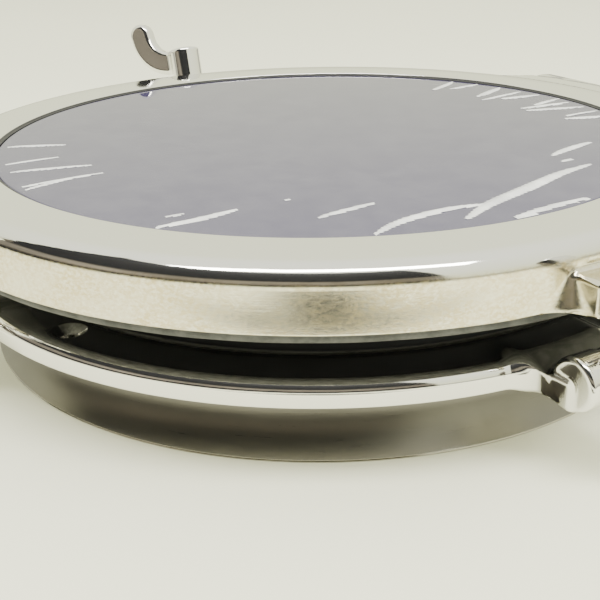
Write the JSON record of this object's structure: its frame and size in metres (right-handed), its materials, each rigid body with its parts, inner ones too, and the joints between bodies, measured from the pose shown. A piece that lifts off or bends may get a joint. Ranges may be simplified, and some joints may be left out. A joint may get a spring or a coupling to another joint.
{
  "type": "opening porthole",
  "caption": "Round opening porthole in polished stainless steel: hinged glazed door, rubber gasket, swing-bolt dogs with finger nuts, flanged frame and flared trim ring.",
  "frame": {"origin": "on the surface that the trim ring's rim rests on, under the ring axis", "axes": "+Z along the ring axis from the trim ring to the door's outer face, +Y from the ring axis to the hinge"},
  "size_m": [0.419, 0.3717, 0.1012],
  "materials": {
    "polished_steel": "mirror-polished stainless steel with light water marks",
    "satin_steel": "satin stainless steel, turned finish",
    "gasket_rubber": "dark grey rubber, fine dry bloom",
    "sealant": "black glazing sealant",
    "tinted_glass": "polished tempered glass with a faint violet tint",
    "clear_film": "clear protective film with trapped air channels",
    "acetal": "natural moulded plastic"
  },
  "bodies": {
    "frame": {"frame_body": "polished_steel", "trim_ring": "satin_steel", "hinge_pin": "polished_steel", "dog_pin_left": "polished_steel", "dog_pin_right": "polished_steel", "dog_pin_front": "polished_steel"},
    "door": {"door_frame": "polished_steel", "door_gasket": "gasket_rubber", "glazing_seal": "sealant", "glass_pane": "tinted_glass", "protective_film": "clear_film", "hinge_washer_left": "acetal", "hinge_washer_right": "acetal", "fork_prong_left_a": "polished_steel", "fork_prong_left_b": "polished_steel", "fork_prong_right_a": "polished_steel", "fork_prong_right_b": "polished_steel", "fork_prong_front_a": "polished_steel", "fork_prong_front_b": "polished_steel"},
    "left_bolt": {"dog_bolt_left": "polished_steel"},
    "left_washer": {"dog_washer_left": "polished_steel"},
    "left_nut": {"dog_nut_left": "polished_steel"},
    "right_bolt": {"dog_bolt_right": "polished_steel"},
    "right_washer": {"dog_washer_right": "polished_steel"},
    "right_nut": {"dog_nut_right": "polished_steel"},
    "front_bolt": {"dog_bolt_front": "polished_steel"},
    "front_washer": {"dog_washer_front": "polished_steel"},
    "front_nut": {"dog_nut_front": "polished_steel"}
  },
  "joints": [
    {"name": "door_hinge", "type": "hinge", "parent": "frame", "child": "door", "pos_m": [0, 0.1755, 0.05], "axis": [-1, 0, 0], "range_deg": [0, 110]},
    {"name": "left_dog_swing", "type": "hinge", "parent": "frame", "child": "left_bolt", "pos_m": [-0.16313, 0.01686, 0.0335], "axis": [-0.1028, -0.9947, 0], "range_deg": [-20, 50]},
    {"name": "left_nut_travel", "type": "slide", "parent": "left_bolt", "child": "left_washer", "axis": [-0.3402, 0.0352, 0.9397], "range_m": [-0.00125, 0.0025]},
    {"name": "left_nut_turn", "type": "hinge", "parent": "left_washer", "child": "left_nut", "pos_m": [-0.17844, 0.01844, 0.07579], "axis": [-0.3402, 0.0352, 0.9397], "range_deg": [-362, 724]},
    {"name": "right_dog_swing", "type": "hinge", "parent": "frame", "child": "right_bolt", "pos_m": [0.16398, 0.00286, 0.0335], "axis": [-0.0175, 0.9998, 0], "range_deg": [-20, 50]},
    {"name": "right_nut_travel", "type": "slide", "parent": "right_bolt", "child": "right_washer", "axis": [0.342, 0.006, 0.9397], "range_m": [-0.00125, 0.0025]},
    {"name": "right_nut_turn", "type": "hinge", "parent": "right_washer", "child": "right_nut", "pos_m": [0.17936, 0.00313, 0.07579], "axis": [0.342, 0.006, 0.9397], "range_deg": [-362, 724]},
    {"name": "front_dog_swing", "type": "hinge", "parent": "frame", "child": "front_bolt", "pos_m": [0, -0.164, 0.0335], "axis": [1, 0, 0], "range_deg": [-20, 50]},
    {"name": "front_nut_travel", "type": "slide", "parent": "front_bolt", "child": "front_washer", "axis": [0, -0.342, 0.9397], "range_m": [-0.00125, 0.0025]},
    {"name": "front_nut_turn", "type": "hinge", "parent": "front_washer", "child": "front_nut", "pos_m": [0, -0.17939, 0.07579], "axis": [0, -0.342, 0.9397], "range_deg": [-362, 724]}
  ],
  "couplings": [
    {"joint": "left_nut_turn", "follows": "left_nut_travel", "rad_per_m": 5026.5},
    {"joint": "right_nut_turn", "follows": "right_nut_travel", "rad_per_m": 5026.5},
    {"joint": "front_nut_turn", "follows": "front_nut_travel", "rad_per_m": 5026.5}
  ]
}
